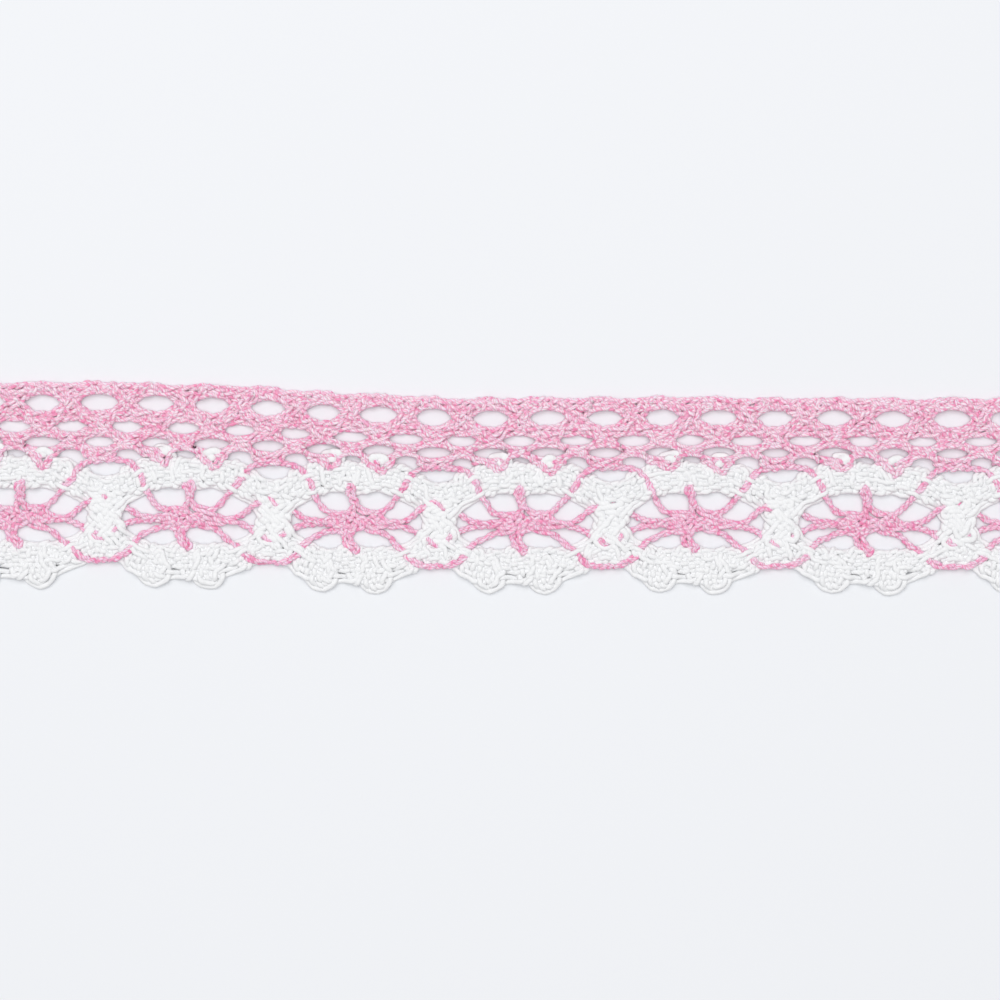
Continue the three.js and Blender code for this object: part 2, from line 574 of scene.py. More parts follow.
@dataclass(eq=False, kw_only=True)
class Spiders(LacePart):
    """The four pink pairs that make the eight-legged spiders and the arches over the blocks.

    Attributes:
        body: Where the pairs lie flat, in the spider's middle.
        leg_head: Where the upper leg passes over the arc.
        leg_heel: Where the lower leg passes over the scallop.
        upper_bits: Where the upper pair shows in a block.
        lower_bits: Where the lower pair does.
        twist: Half twists a millimetre.
        spread: Distance between the threads, as a share of the usual one.
        leg_reach: How far the upper leg reaches to each side of the middle.
        leg_top: Height of its top.
        leg_foot: Height of its foot.
    """

    name: str = "spiders"
    cotton: Cotton = Cotton.PINK
    body: Oval = ((0.1, -3.95), (3.6, 1.5))
    leg_head: Oval = ((0.0, 0.55), (1.9, 0.6))
    leg_heel: Oval = ((0.1, -7.7), (1.0, 0.7))
    upper_bits: tuple[Oval, Oval] = (((8.92, -1.87), (0.6, 0.5)), ((11.1, -1.3), (0.4, 0.6)))
    lower_bits: tuple[Oval, Oval] = (((9.8, -6.2), (0.5, 0.6)), ((12.28, -5.75), (0.6, 0.4)))
    twist: float = 0.85
    spread: float = 1.2
    leg_reach: float = 1.3
    leg_top: float = 1.2
    leg_foot: float = -2.9

    def leaned(self, chart: Chart, lean: float) -> Chart:
        """A chart whose upper leg leans.

        Args:
            chart: The chart with the leg upright.
            lean: How far the leg's top moves along the lace.

        Returns:
            The leaning chart.
        """
        leaned = []
        for x, y in chart:
            rise = (y - self.leg_foot) / (self.leg_top - self.leg_foot)
            moves = abs(x) < self.leg_reach and rise > 0
            leaned.append((x + lean * min(rise, 1.0), y) if moves else (x, y))
        return leaned

    def pairs(self, lie: Lie) -> list[Pair]:
        """Two pairs that cross from side to side, and two that go along.

        Args:
            lie: How the lace lies.

        Returns:
            The pairs.
        """
        count = range(len(lie.repeats))
        crossing = (SPIDER_FALLING, SPIDER_RISING)
        upper = [self.leaned(SPIDER_UPPER, lean) for lean in lie.leg_leans]
        ways = [
            (alternate(crossing, 0, count), Rank.LEG.everywhere()),
            (alternate(crossing, 1, count), Rank.LEG.everywhere()),
            (upper, Rank.GROUND.inside(lie, self.leg_head, *self.upper_bits)),
            ([SPIDER_LOWER for _ in count], Rank.GROUND.inside(lie, self.leg_heel, *self.lower_bits)),
        ]
        bodies = lie.ovals(self.body)
        return [
            Pair(self.cotton, laid(charts, lie), self.twist, self.spread, bodies, ranks)
            for charts, ranks in ways
        ]


# The white tapes.

# Pairs that stay in the arcs above the spiders, from the spider's middle.
ARC_EDGE: Chart = [
    (-11.00, 0.78), (-9.35, 0.97), (-8.35, 1.75), (-7.30, 2.35), (-6.10, 2.88), (-4.83, 3.10),
    (-2.50, 3.10), (-0.05, 3.17), (2.40, 3.10), (4.73, 3.04), (6.20, 2.84), (7.45, 2.30),
    (8.45, 1.65), (9.40, 0.97),
]
ARC_SECOND: Chart = [
    (-11.00, -0.13), (-9.22, 0.06), (-7.54, 0.90), (-5.99, 1.87), (-4.44, 2.20),
    (-2.25, 2.26), (-0.05, 2.26), (2.14, 2.20), (4.34, 2.13), (5.89, 1.81), (7.44, 0.90),
    (9.12, 0.06),
]
# Pairs that stay in the scallop below the spiders.
SCALLOP_INNER: Chart = [
    (-11.00, -7.50), (-9.22, -7.63), (-7.67, -8.27), (-6.25, -9.18), (-4.70, -9.69),
    (-2.50, -9.82), (-0.05, -9.82), (2.27, -9.82), (4.47, -9.63), (6.02, -9.11),
    (7.44, -8.34), (9.12, -7.63),
]
SCALLOP_EDGE: Chart = [
    (-11.00, -8.34), (-9.61, -8.72), (-8.44, -9.69), (-7.15, -10.53), (-5.60, -11.05),
    (-3.15, -11.18), (-0.96, -11.18), (1.37, -11.18), (3.69, -11.12), (5.24, -10.79),
    (6.79, -10.08), (8.21, -9.11), (9.63, -8.47),
]
# Pairs that cross in the block from arc to scallop, and from scallop to arc.
BLOCK_DOWN: Chart = [
    (-5.09, 1.29), (-2.50, 1.36), (-0.05, 1.36), (2.40, 1.29), (4.21, 1.23), (5.76, 0.78),
    (7.18, 0.00), (8.34, -0.58), (9.50, -1.42), (10.60, -2.58), (11.50, -3.75), (12.41, -4.91),
    (13.25, -5.95), (14.28, -6.72), (15.44, -7.30),
]
BLOCK_DOWN_SECOND: Chart = [
    (-5.09, 0.39), (-2.50, 0.45), (-0.05, 0.45), (2.40, 0.39), (3.95, 0.32), (5.50, -0.13),
    (6.92, -0.78), (7.82, -1.36), (8.60, -2.13), (9.44, -3.17), (10.28, -4.20), (11.31, -5.43),
    (12.47, -6.59), (13.76, -7.43), (15.05, -8.08), (16.09, -8.53),
]
BLOCK_UP: Chart = [
    (-5.09, -7.88), (-2.50, -7.88), (-0.05, -7.88), (2.40, -7.88), (4.21, -7.82),
    (5.63, -7.50), (6.92, -7.04), (7.95, -6.46), (8.73, -5.69), (9.50, -4.59), (10.34, -3.49),
    (11.37, -2.26), (12.47, -1.36), (13.76, -0.65), (15.05, 0.06), (15.83, 0.58),
    (16.73, 1.19),
]
BLOCK_UP_SECOND: Chart = [
    (-5.09, -8.79), (-2.50, -8.85), (-0.05, -8.85), (2.40, -8.79), (4.47, -8.66),
    (6.02, -8.27), (7.57, -7.82), (8.86, -7.24), (10.02, -6.46), (10.92, -5.36),
    (11.70, -4.20), (12.54, -2.84), (13.25, -1.94), (14.41, -1.23), (15.70, -0.39),
    (16.73, 0.32),
]


# The worker that goes to and fro in one block.
BLOCK_WORKER: Chart = [
    (-12.10, 0.30), (-12.95, -0.85), (-11.00, -1.10), (-9.20, -1.35), (-9.20, -1.85),
    (-11.00, -2.05), (-12.65, -2.30), (-12.65, -2.80), (-11.00, -3.00), (-9.40, -3.20),
    (-9.40, -3.70), (-11.00, -3.90), (-12.60, -4.15), (-12.60, -4.65), (-11.00, -4.85),
    (-9.30, -5.10), (-9.30, -5.60), (-11.00, -5.80), (-12.80, -6.05), (-12.80, -6.60),
    (-11.00, -6.75), (-9.90, -7.60),
]
# Width of the pairs that go along the tapes, where they lie close together.
PASSIVE_WIDTH = 0.93
# Middle, and half length and half width, of a block where the white pairs hide the pink ones.
BLOCK_OVAL = ((-11.0, -3.9), (3.0, 3.0))


@dataclass(frozen=True)
class TapeEdges:
    """Where a worker turns: places along a repeat, and the tape's edges there."""

    along: tuple[float, ...]
    upper: tuple[float, ...]
    lower: tuple[float, ...]

    def at(self, x: float, is_upper: bool) -> float:
        """Height of one edge."""
        return float(np.interp(x, self.along, self.upper if is_upper else self.lower))


@dataclass(frozen=True)
class Loop:
    """A loop that a worker makes outside its tape, and its outline as shares of its size."""

    middle: float
    tip: float
    half_width: float
    base: float
    outline: tuple[Point, ...] = (
        (-1, 0), (-0.94, 0.45), (-0.6, 0.87), (0, 1), (0.6, 0.87), (0.94, 0.45), (1, 0),
    )

    def chart(self) -> Chart:
        """The loop's points from left to right."""
        rise = self.tip - self.base
        return [(self.middle + self.half_width * u, self.base + rise * v) for u, v in self.outline]


@dataclass(eq=False, kw_only=True)
class Tape(LacePart):
    """A white plain-weave tape: pairs that go along, and a worker that goes to and fro.

    Attributes:
        edges: The tape's edges.
        passives: Charts of the pairs that go along.
        split_passive: Which of them lets the spiders' legs through, over one of its threads.
        loops: The worker's loops, by the number of the pass.
        shifts: How far a turn of the worker moves along, by the number of the pass.
        crescents: Where the worker covers the net ground.
        passes: Passes of the worker in a repeat.
        inset: How far inside the edge it turns.
        turn_reach: Half the length of a turn.
    """

    cotton: Cotton = Cotton.WHITE
    edges: TapeEdges
    passives: tuple[Chart, ...]
    split_passive: int
    loops: dict[int, Loop] = field(default_factory=dict)
    shifts: dict[int, float] = field(default_factory=dict)
    crescents: tuple[Oval, ...] = ()
    passes: int = 18
    inset: float = 0.21
    turn_reach: float = 0.34

    def turn_place(self, number: int) -> float:
        """Where along the repeat the worker turns for a pass."""
        return self.edges.along[0] + number * REPEAT / self.passes

    def worker(self, repeats: int) -> Chart:
        """The worker's way to and fro over all repeats.

        Args:
            repeats: How many there are.

        Returns:
            The points of its way.
        """
        reach = self.turn_reach
        chart: Chart = []
        for k in range(repeats):
            for number in range(self.passes):
                if number in self.loops:
                    chart += [(x + REPEAT * k, y) for x, y in self.loops[number].chart()]
                    continue
                x = self.turn_place(number)
                is_upper = number % 2 == 0
                side = -1 if is_upper else 1
                y = self.edges.at(x, is_upper) + side * self.inset
                x += REPEAT * k + self.shifts.get(number, 0.0)
                chart += [(x - reach, y + side * reach), (x, y), (x + reach, y + side * reach)]
        return chart

    def pairs(self, lie: Lie) -> list[Pair]:
        """The passive pairs and the worker pair.

        Args:
            lie: How the lace lies.

        Returns:
            The pairs, with the worker last.
        """
        count = len(lie.repeats)
        in_block = Rank.BLOCK.inside(lie, BLOCK_OVAL)
        split = np.vstack([Rank.SPLIT.everywhere(), in_block])
        made = []
        for number, chart in enumerate(self.passives):
            ranks = split if number == self.split_passive else in_block
            line = laid([chart] * count, lie)
            made.append(Pair(self.cotton, line, ranks=ranks, width=PASSIVE_WIDTH))
        ranks = np.vstack([Rank.BEHIND.everywhere(), in_block])
        if self.crescents:
            ranks = np.vstack([ranks, Rank.CRESCENT.inside(lie, *self.crescents)])
        made.append(Pair(self.cotton, lie.run(self.worker(count)), ranks=ranks))
        return made


@dataclass(eq=False, kw_only=True)
class Arcs(Tape):
    """The white arcs over the spiders, whose worker throws a crescent at each pink knot.

    Attributes:
        set_passes: Passes whose place is set, so that the crescents meet the knots.
        set_places: Their places along the repeat.
    """

    name: str = "arcs"
    edges: TapeEdges = TapeEdges(
        along=(-11.00, -9.40, -8.40, -6.77, -5.09, -0.05, 4.98, 6.53, 8.20, 9.30, 11.00),
        upper=(1.29, 1.42, 2.35, 2.95, 3.55, 3.62, 3.49, 3.00, 2.30, 1.42, 1.29),
        lower=(-1.29, -1.25, -1.16, -0.65, 0.00, 0.06, 0.00, -0.65, -1.10, -1.25, -1.29),
    )
    passives: tuple[Chart, ...] = (ARC_EDGE, ARC_SECOND)
    split_passive: int = 1
    loops: dict[int, Loop] = field(
        default_factory=lambda: {
            6: Loop(-3.3, 4.78, 1.15, 4.35),
            12: Loop(3.02, 4.45, 1.0, 4.0),
        }
    )
    crescents: tuple[Oval, ...] = (((-3.33, 4.95), (1.3, 0.6)), ((3.01, 4.6), (1.15, 0.6)))
    set_passes: tuple[int, ...] = (0, 6, 12, 18)
    set_places: tuple[float, ...] = (-10.39, -3.28, 3.05, 11.61)

    def turn_place(self, number: int) -> float:
        """Where along the repeat the worker turns for a pass."""
        return float(np.interp(number, self.set_passes, self.set_places))


@dataclass(eq=False, kw_only=True)
class Scallop(Tape):
    """The white scallop under the spiders, with its two filled picots."""

    name: str = "scallop"
    edges: TapeEdges = TapeEdges(
        along=(-11.00, -8.70, -6.89, -5.09, -0.05, 4.21, 6.27, 8.34, 11.00),
        upper=(-6.59, -6.85, -7.50, -7.30, -7.24, -7.24, -7.63, -6.85, -6.59),
        lower=(-8.92, -9.69, -10.86, -11.50, -11.63, -11.37, -10.60, -9.44, -8.92),
    )
    passives: tuple[Chart, ...] = (SCALLOP_INNER, SCALLOP_EDGE)
    split_passive: int = 0
    loops: dict[int, Loop] = field(
        default_factory=lambda: {
            5: Loop(-4.75, -12.3, 1.6, -10.86),
            7: Loop(-4.6, -11.8, 0.75, -10.6),
            11: Loop(2.45, -12.55, 1.6, -11.1),
            13: Loop(2.5, -12.05, 0.75, -10.7),
        }
    )
    shifts: dict[int, float] = field(
        default_factory=lambda: {6: -0.39, 8: -0.52, 12: -0.77, 14: -0.77}
    )


@dataclass(eq=False, kw_only=True)
class Blocks(LacePart):
    """The white pairs that cross in the blocks between the spiders, and each block's worker."""

    name: str = "blocks"
    cotton: Cotton = Cotton.WHITE

    def pairs(self, lie: Lie) -> list[Pair]:
        """Two pairs that start downwards, two that start upwards, and the workers.

        Args:
            lie: How the lace lies.

        Returns:
            The pairs, with a worker for each block last.
        """
        count = range(len(lie.repeats))
        in_block = Rank.BLOCK.inside(lie, BLOCK_OVAL)
        split = np.vstack([Rank.SPLIT.everywhere(), in_block])
        firsts = (BLOCK_DOWN, BLOCK_UP)
        seconds = (BLOCK_DOWN_SECOND, BLOCK_UP_SECOND)
        made = []
        for charts, ranks in ((firsts, in_block), (seconds, split)):
            for start in range(2):
                line = laid(alternate(charts, start, count), lie)
                made.append(Pair(self.cotton, line, ranks=ranks, width=PASSIVE_WIDTH))
        for k in count:
            made.append(Pair(self.cotton, lie.motif(BLOCK_WORKER, k), ranks=in_block))
        return made


# Crossing and settling.


@dataclass(frozen=True)
class Gap:
    """An opening that stays clear of threads. Sizes are in millimetres.

    Attributes:
        across: Height of its middle.
        length: Its length.
        width: Its width.
        along: Place along its row, as a share of its pitch, or from the spider's middle.
        turn: Its turn in degrees.
    """

    across: float
    length: float
    width: float
    along: float = 0.0
    turn: float = 0.0


EYELETS = (
    Gap(10.86, 4.4, 2.05, along=0.0),
    Gap(7.69, 3.95, 1.35, along=0.5),
    Gap(5.76, 4.2, 1.35, along=0.0),
    Gap(4.30, 2.9, 1.1, along=0.5),
)
ARCH_GAP = Gap(2.05, 4.1, 1.45)
SPIDER_GAPS = (
    Gap(-1.03, 3.5, 1.95, along=-2.75),
    Gap(-1.03, 3.4, 1.95, along=2.55),
    Gap(-2.33, 1.95, 2.2, along=-6.0),
    Gap(-2.58, 2.85, 2.1, along=5.63, turn=20),
    Gap(-6.54, 2.6, 1.8, along=-3.54),
    Gap(-6.40, 4.1, 1.8, along=2.02),
    Gap(-5.17, 2.3, 1.0, along=-6.13),
    Gap(-5.30, 1.8, 1.15, along=5.38),
)


class CellFinder:
    """Finds points that lie within one grid cell of each other."""

    @staticmethod
    def near(points: np.ndarray, cell: float) -> tuple[np.ndarray, np.ndarray]:
        """Pairs of points in the same or in touching cells.

        Args:
            points: The points, one row each.
            cell: Length of a cell's side.

        Returns:
            The numbers of the first points and of the second ones.
        """
        grid = np.floor(points / cell).astype(np.int64)
        grid -= grid.min(0) - 1
        width = grid[:, 1].max() + 3
        key = grid[:, 0] * width + grid[:, 1]
        order = np.argsort(key, kind="stable")
        keys = key[order]
        own = np.arange(len(points))
        found_a, found_b = [], []
        for dx, dy in ((0, 0), (0, 1), (1, -1), (1, 0), (1, 1)):
            target = keys + dx * width + dy
            low = own + 1 if (dx, dy) == (0, 0) else np.searchsorted(keys, target, "left")
            count = np.maximum(np.searchsorted(keys, target, "right") - low, 0)
            first = np.repeat(own, count)
            within = np.arange(count.sum()) - np.repeat(np.cumsum(count) - count, count)
            found_a.append(order[first])
            found_b.append(order[np.repeat(low, count) + within])
        return np.concatenate(found_a), np.concatenate(found_b)


@dataclass
class ThreadWork:
    """All threads of the lace, crossed and settled together. Sizes are in millimetres.

    Attributes:
        lie: How the lace lies.
        parts: Its parts.
        lift: Height of a thread over or under the middle, where it starts to cross.
        gravity: How far each turn of the settling lowers the threads.
        plump: How much wider the threads are in the blocks.
        body_share: Share of that in the spiders' bodies.
        crescent_share: Share of it in the crescents.
        twist_change: How much a pair's twist changes along it, and over what length.
        wander: How far a pair strays from its chart.
        wander_lengths: Lengths of its two waves.
        unevenness: How much the openings differ in size.
        line_step: Distance between the points of a pair's line.
        step: Distance between the points of a thread.
        least_points: Shorter threads are left out at the cut ends.
        thickness: The lace's thickness.
        iterations: Turns of the settling.
        refresh: Turns after which touching points are looked for again.
        stiffness: How fast a thread straightens.
        hold: How fast it goes back to its chart.
        tension: How fast it takes its own length.
        touch: How fast threads leave each other.
        search: How far touching points are looked for, as a share of their reach.
        close: How near they have to be to be kept.
        own_gap: Points between two that touch in one thread.
        gap_push: The farthest that an opening pushes in a turn, as a share of the distance.
        seed: The seed of the random draws.
        threads: The threads.
    """

    lie: Lie
    parts: list[LacePart]
    lift: float = 0.23
    gravity: float = 0.004
    plump: float = 0.2
    body_share: float = 0.6
    crescent_share: float = 2.2
    twist_change: Point = (0.35, 2.3)
    wander: float = 0.045
    wander_lengths: tuple[float, float] = (0.7, 1.9)
    unevenness: float = 0.12
    line_step: float = 0.12
    step: float = 0.25
    least_points: int = 5
    thickness: float = 1.2
    iterations: int = 80
    refresh: int = 5
    stiffness: float = 0.2
    hold: float = 0.03
    tension: float = 0.25
    touch: float = 0.225
    search: float = 1.15
    close: float = 1.25
    own_gap: int = 4
    gap_push: float = 0.35
    seed: int = 7
    threads: list[Thread] = field(default_factory=list)

    def lay_threads(self) -> None:
        """Splits every pair into its two threads and cuts them at the ends of the length."""
        rng = np.random.default_rng(self.seed)
        change, change_length = self.twist_change
        for part in self.parts:
            for pair in part.pairs(self.lie):
                middle = smooth_line(pair.line, self.line_step)
                aside = directions(middle)[1]
                gone = distances(middle)
                flat = self.within(middle, pair.flat)
                uneven = 1 + change * np.sin(gone / change_length + rng.uniform(0, TAU))
                rate = pair.twist * (1 - flat) * uneven
                steps = np.linalg.norm(np.diff(middle, axis=0), axis=1)
                turned = np.concatenate([[0], np.cumsum((rate[:-1] + rate[1:]) / 2 * steps)])
                phase = turned + rng.uniform(0, 1)
                phase += flat * (np.round(phase) - phase)
                swing = np.cos(math.pi * phase) if pair.twist else np.ones(len(gone))
                offset = (pair.cotton.radius * pair.spread * swing)[:, None] * aside
                waves = [np.sin(gone / length + rng.uniform(0, TAU)) for length in self.wander_lengths]
                middle = middle + self.wander * sum(waves)[:, None] * aside
                for side in (1, -1):
                    self.lay_thread(part, pair, resample(middle + side * offset, self.step), side)

    def lay_thread(self, part: LacePart, pair: Pair, line: np.ndarray, side: int) -> None:
        """Adds one of a pair's threads, cut where it leaves the length.

        Args:
            part: The part that it belongs to.
            pair: Its pair.
            line: Its points.
            side: 1 for the first thread of the pair and -1 for the second.
        """
        ranks = np.zeros(len(line))
        for row in () if pair.ranks is None else pair.ranks:
            ranks[self.within(line, row[None, :4]) > 0.5] = row[4]
        fuller = self.body_share * self.within(line, pair.flat)
        fuller = np.maximum(fuller, ranks == Rank.BLOCK.value)
        fuller = np.maximum(fuller, self.crescent_share * (ranks == Rank.CRESCENT.value))
        width = pair.width * (1 + self.plump * fuller)
        ranks[ranks == Rank.SPLIT.value] *= side
        inside = np.abs(line[:, 0]) < self.lie.half_length
        edges = np.nonzero(np.diff(np.concatenate([[0], inside.astype(int), [0]])))[0]
        for start, stop in zip(edges[::2], edges[1::2]):
            if stop - start >= self.least_points:
                number = len(self.threads)
                kept = slice(start, stop)
                self.threads.append(Thread(part, line[kept], number, ranks[kept], width[kept]))

    @staticmethod
    def within(line: np.ndarray, ovals: np.ndarray | None) -> np.ndarray:
        """How far points are inside any of some ovals.

        Args:
            line: The points.
            ovals: X, Y, half length and half width, one row each, or None.

        Returns:
            0 for each point outside and 1 for each inside, eased at the rim.
        """
        rim = (0.85, 1.1)
        share = np.zeros(len(line))
        for x, y, half_length, half_width in () if ovals is None else ovals:
            away = np.hypot((line[:, 0] - x) / half_length, (line[:, 1] - y) / half_width)
            share = np.maximum(share, 1 - smooth_step(away, *rim))
        return share

    def radii(self) -> np.ndarray:
        """The pressed radius at every point."""
        counts = [len(thread.points) for thread in self.threads]
        return np.repeat([thread.part.cotton.pressed for thread in self.threads], counts)

    def arrays(self) -> tuple[np.ndarray, np.ndarray, np.ndarray]:
        """All threads as arrays.

        Returns:
            All points, the thread of each, and the first point of each segment.
        """
        points = np.concatenate([thread.points for thread in self.threads])
        owner = np.repeat(np.arange(len(self.threads)), [len(t.points) for t in self.threads])
        return points, owner, np.nonzero(owner[:-1] == owner[1:])[0]

    def crossings(self) -> dict[str, np.ndarray]:
        """Every place where two threads cross in plan.

        Returns:
            The point numbers of both threads there, with the share of the segment gone as their
            fraction, the place, and the first thread's way there.
        """
        reach = 0.3
        points, _, first = self.arrays()
        middles = (points[first] + points[first + 1]) / 2
        i, j = CellFinder.near(middles, reach)
        close = (np.abs(middles[i] - middles[j]).max(1) < reach) & (np.abs(first[i] - first[j]) > 1)
        i, j = i[close], j[close]
        start, way = points[first[i]], points[first[i] + 1] - points[first[i]]
        other_start, other_way = points[first[j]], points[first[j] + 1] - points[first[j]]
        slant = way[:, 0] * other_way[:, 1] - way[:, 1] * other_way[:, 0]
        slant = np.where(np.abs(slant) < TINY, TINY, slant)
        d = other_start - start
        gone = (d[:, 0] * other_way[:, 1] - d[:, 1] * other_way[:, 0]) / slant
        other_gone = (d[:, 0] * way[:, 1] - d[:, 1] * way[:, 0]) / slant
        met = (gone >= 0) & (gone < 1) & (other_gone >= 0) & (other_gone < 1)
        return {
            "a": first[i[met]] + gone[met],
            "b": first[j[met]] + other_gone[met],
            "point": start[met] + way[met] * gone[met][:, None],
            "ahead": way[met],
        }

    def goes_over(self, crossings: dict[str, np.ndarray]) -> np.ndarray:
        """Whether the first thread of each crossing goes over the second.

        The threads cut the plane into regions that can be coloured as a chequerboard. A thread
        that goes over where the region on its left is dark, and under where it is light, goes
        over and under in turn.

        Args:
            crossings: The crossings, as found.

        Returns:
            True where the first thread goes over.
        """
        probe_ahead, probe_aside = 0.02, 0.004
        points, _, first = self.arrays()
        ahead = crossings["ahead"] / np.linalg.norm(crossings["ahead"], axis=1)[:, None]
        aside = np.stack([-ahead[:, 1], ahead[:, 0]], -1)
        probe = crossings["point"] + probe_ahead * ahead + probe_aside * aside
        x0, x1 = points[first, 0], points[first + 1, 0]
        y0, y1 = points[first, 1], points[first + 1, 1]
        low = np.floor(np.minimum(x0, x1) / self.step).astype(int)
        high = np.floor(np.maximum(x0, x1) / self.step).astype(int)
        spans = [np.nonzero(high - low >= k)[0] for k in range((high - low).max() + 1)]
        segment = np.concatenate(spans)
        column = np.concatenate([low[span] + k for k, span in enumerate(spans)])
        order = np.argsort(column, kind="stable")
        segment, column = segment[order], column[order]
        at = np.floor(probe[:, 0] / self.step).astype(int)
        start = np.searchsorted(column, at, "left")
        count = np.searchsorted(column, at, "right") - start
        which = np.repeat(np.arange(len(probe)), count)
        within = np.arange(count.sum()) - np.repeat(np.cumsum(count) - count, count)
        s = segment[np.repeat(start, count) + within]
        x, y = probe[which, 0], probe[which, 1]
        straddles = (x0[s] <= x) != (x1[s] <= x)
        run = np.where(np.abs(x1[s] - x0[s]) < TINY, TINY, x1[s] - x0[s])
        above = straddles & (y0[s] + (x - x0[s]) * (y1[s] - y0[s]) / run > y)
        return np.bincount(which[above], minlength=len(probe)) % 2 == 0

    def raise_threads(self) -> None:
        """Gives every thread its start heights: up where it goes over, and down between."""
        crossings = self.crossings()
        over = self.goes_over(crossings)
        ranks = np.concatenate([thread.ranks for thread in self.threads])
        pink = self.radii() == Cotton.PINK.pressed
        a, b = crossings["a"].astype(int), crossings["b"].astype(int)
        lead = np.where(pink[a] != pink[b], ranks[a] - ranks[b], 0)
        over = np.where(lead != 0, lead > 0, over)
        place = np.concatenate([crossings["a"], crossings["b"]])
        height = np.where(np.concatenate([over, ~over]), self.lift, -self.lift)
        order = np.argsort(place)
        place, height = place[order], height[order]
        start = 0
        for thread in self.threads:
            count = len(thread.points)
            own = slice(*np.searchsorted(place, (start, start + count)))
            z = np.zeros(count)
            if own.stop > own.start:
                z = np.interp(np.arange(start, start + count), place[own], height[own])
            thread.points = np.column_stack([thread.points, z])
            start += count
        log.info("%d threads cross %d times", len(self.threads), len(over))

    def gaps(self) -> np.ndarray:
        """All openings, one row each.

        Returns:
            X and Y of the middle, half length, half width, turn, and 1 where only the net
            ground keeps clear of it.
        """
        rng = np.random.default_rng(self.seed)
        rows = []
        shift = GROUND_SHIFT / REPEAT + 0.5
        for k in range(len(self.lie.repeats)):
            for gap in EYELETS:
                for i in range(3):
                    rows.append((k + (i + gap.along) / 3 + shift, gap))
            rows.append((k, ARCH_GAP))
            for gap in SPIDER_GAPS:
                rows.append((k + 0.5 + gap.along / self.lie.repeats[k], gap))
        places = np.array([place for place, _ in rows], float)
        middles = self.lie.at(places, np.array([gap.across for _, gap in rows]))
        sizes = np.array([(gap.length / 2, gap.width / 2) for _, gap in rows])
        sizes *= 1 + rng.uniform(-self.unevenness, self.unevenness, sizes.shape)
        turns = [(math.radians(gap.turn), gap in EYELETS) for _, gap in rows]
        return np.column_stack([middles, sizes, np.array(turns)])

    def clear_gaps(self, points: np.ndarray, radii: np.ndarray, gaps: np.ndarray) -> None:
        """Pushes points out of the openings.

        Args:
            points: All points, which it moves.
            radii: Their pressed radii.
            gaps: The openings, as listed.
        """
        least_away = 0.05
        order = np.argsort(points[:, 0])
        xs = points[order, 0]
        pink = radii == Cotton.PINK.pressed
        for x, y, half_length, half_width, turn, ground_only in gaps:
            reach = half_length + radii.max()
            near = order[slice(*np.searchsorted(xs, (x - reach, x + reach)))]
            if ground_only:
                near = near[pink[near]]
            dx, dy = points[near, 0] - x, points[near, 1] - y
            u = (dx * math.cos(turn) + dy * math.sin(turn)) / (half_length + radii[near])
            v = (dy * math.cos(turn) - dx * math.sin(turn)) / (half_width + radii[near])
            away = np.sqrt(u * u + v * v)
            inside = away < 1
            push = np.minimum(1 / np.maximum(away[inside], least_away) - 1, self.gap_push)
            points[near[inside], 0] += dx[inside] * push
            points[near[inside], 1] += dy[inside] * push

    def settle(self) -> None:
        """Lets stiffness, tension and touch move the threads until they lie on each other."""
        points, owner, first = self.arrays()
        total = len(points)
        chart = points[:, :2].copy()
        rest = np.linalg.norm(np.diff(chart, axis=0), axis=1)[first]
        inner = np.nonzero((owner[:-2] == owner[1:-1]) & (owner[1:-1] == owner[2:]))[0] + 1
        gaps = self.gaps()
        radii = self.radii()
        reach = 2 * radii.max()
        cottons = [t.part.cotton.radius for t in self.threads]
        highest = self.thickness / 2 - np.repeat(cottons, [len(t.points) for t in self.threads])
        for turn in range(self.iterations):
            if turn % self.refresh == 0:
                i, j = CellFinder.near(points[:, :2], self.search * reach)
                near = np.sum((points[i] - points[j]) ** 2, axis=1) < (self.close * reach) ** 2
                near &= (owner[i] != owner[j]) | (np.abs(i - j) > self.own_gap)
                i, j = i[near], j[near]
            bend = (points[inner - 1] + points[inner + 1]) / 2 - points[inner]
            points[inner] += self.stiffness * bend
            points[:, :2] += self.hold * (chart - points[:, :2])
            for _ in range(2):
                edge = points[first + 1] - points[first]
                length = np.linalg.norm(edge, axis=1)
                pull = (self.tension * (length - rest) / np.maximum(length, 1e-9))[:, None] * edge
                self.spread(points, first, first + 1, pull)
            for _ in range(2):
                apart = points[i] - points[j]
                length = np.linalg.norm(apart, axis=1)
                need = radii[i] + radii[j] - length
                hit = need > 0
                push = (self.touch * need[hit] / np.maximum(length[hit], 1e-6))[:, None] * apart[hit]
                self.spread(points, i[hit], j[hit], push)
            self.clear_gaps(points, radii, gaps)
            points[:, 2] = np.clip(points[:, 2] - self.gravity, -highest, highest)
        points[:, 2] += self.thickness / 2
        for number, thread in enumerate(self.threads):
            thread.points = points[owner == number]
        log.info("settled %d points, %d still pressed together", total, int(hit.sum()))

    @staticmethod
    def spread(points: np.ndarray, i: np.ndarray, j: np.ndarray, move: np.ndarray) -> None:
        """Adds a move to some points and takes it from others.

        Args:
            points: All points, which it moves.
            i: Numbers of the points that the move is added to.
            j: Numbers of those that it is taken from.
            move: The move, one row for each of them.
        """
        for axis in range(3):
            points[:, axis] += np.bincount(i, move[:, axis], len(points))
            points[:, axis] -= np.bincount(j, move[:, axis], len(points))


# The yarn.


